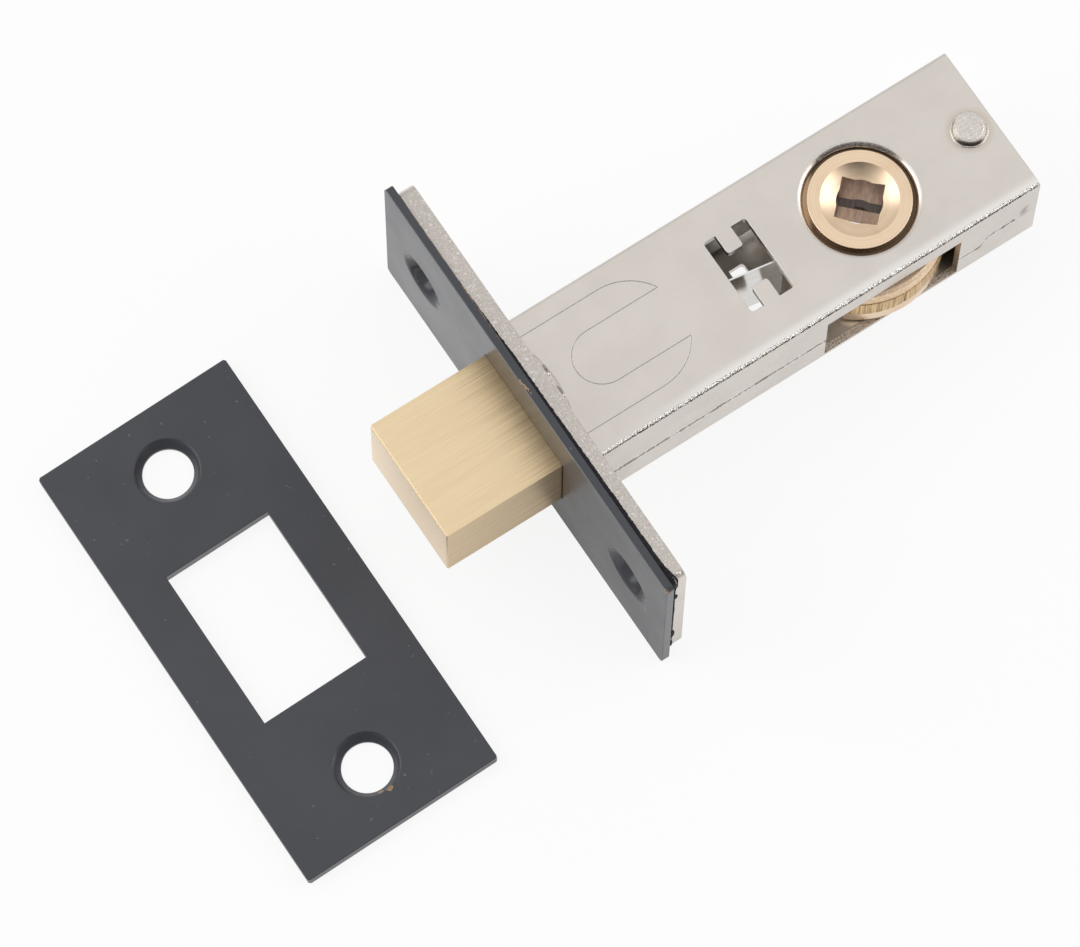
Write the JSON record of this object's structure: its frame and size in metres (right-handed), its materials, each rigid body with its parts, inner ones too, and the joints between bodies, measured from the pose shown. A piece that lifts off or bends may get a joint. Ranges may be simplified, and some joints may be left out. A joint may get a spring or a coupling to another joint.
{
  "type": "privacy bolt",
  "caption": "Square-bolt privacy latch in a folded metal case with a black forend, a brass follower turned by a square spindle, and a loose black strike plate",
  "frame": {"origin": "middle of the forend cover's front face, on the axis of the bolt", "axes": "+X is the way the bolt is thrown, +Y runs along the long side of the forend, +Z comes out of the case's wide face with the rear rivet and the follower"},
  "size_m": [0.1106, 0.0581, 0.0288],
  "materials": {
    "black_plate": "satin black coat",
    "nickel_plate": "satin nickel on sheared steel",
    "nickel_sheet": "satin nickel on folded sheet",
    "rivet_metal": "peened nickel",
    "steel": "plain steel",
    "spring_steel": "bright spring steel",
    "brushed_brass": "brass brushed along the throw",
    "turned_brass": "turned and polished brass",
    "blanked_brass": "blanked brass with shear lines"
  },
  "bodies": {
    "case_and_forend": {"forend_cover": "black_plate", "forend_plate": "nickel_plate", "upper_fork": "nickel_sheet", "lower_fork": "nickel_sheet", "case_upper_shell": "nickel_sheet", "case_lower_shell": "nickel_sheet", "rear_rivet": "rivet_metal", "rear_spacer": "steel", "detent_spring": "spring_steel", "strike_plate": "black_plate"},
    "bolt": {"bolt_head": "brushed_brass", "tail_strip": "steel", "tail_rivets": "steel"},
    "follower": {"upper_hub": "turned_brass", "lower_hub": "turned_brass", "cam_plate": "blanked_brass", "follower_rivets": "steel"}
  },
  "joints": [
    {"name": "bolt_slide", "type": "slide", "parent": "case_and_forend", "child": "bolt", "axis": [1, 0, 0], "range_m": [-0.0154, 0]},
    {"name": "follower_turn", "type": "hinge", "parent": "case_and_forend", "child": "follower", "pos_m": [-0.0454, 0, 0], "axis": [0, 0, 1], "range_deg": [-90, 0]}
  ],
  "couplings": [
    {"joint": "follower_turn", "follows": "bolt_slide", "rad_per_m": 102}
  ]
}
